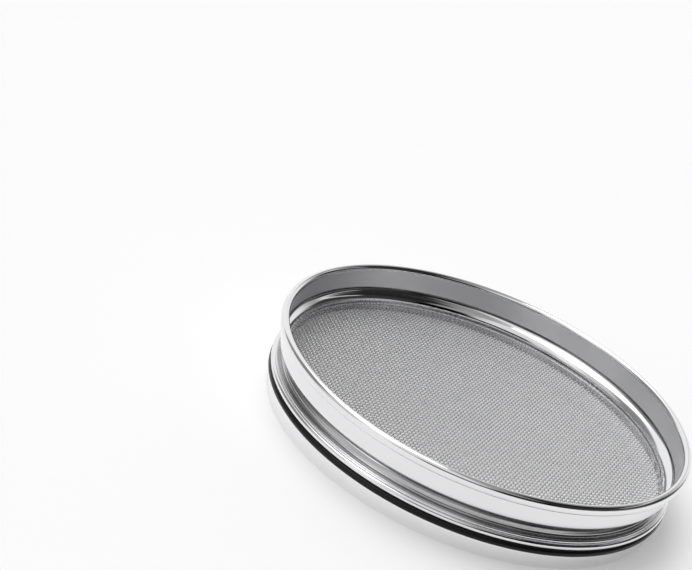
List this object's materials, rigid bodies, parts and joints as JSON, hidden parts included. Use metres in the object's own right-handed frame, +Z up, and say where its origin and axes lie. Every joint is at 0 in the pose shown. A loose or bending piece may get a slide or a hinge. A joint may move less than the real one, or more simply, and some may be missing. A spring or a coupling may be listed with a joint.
{
  "type": "test sieve",
  "caption": "Half-height round test sieve: spun sheet frame with a rolled rim, stepped neck and nesting skirt, woven wire cloth held in a rolled hem, and a rubber sealing ring.",
  "frame": {"origin": "centre of the foot circle, on the surface that the sieve stands on", "axes": "+Z up along the sieve's axis, from the skirt to the rim; X and Y are any two directions across, and the wires are turned 13 degrees from them"},
  "size_m": [0.208, 0.208, 0.0368],
  "materials": {
    "frame_steel": "bright polished stainless sheet with fine marks round the axis, satin on the skirt",
    "wire_steel": "drawn stainless wire, plain weave",
    "seal_rubber": "smooth black rubber, slightly glossy"
  },
  "bodies": {
    "root": {"upper_frame": "frame_steel", "lower_frame": "frame_steel", "tension_ring": "frame_steel", "sealing_ring": "seal_rubber", "warp_wires": "wire_steel", "weft_wires": "wire_steel"}
  },
  "joints": []
}
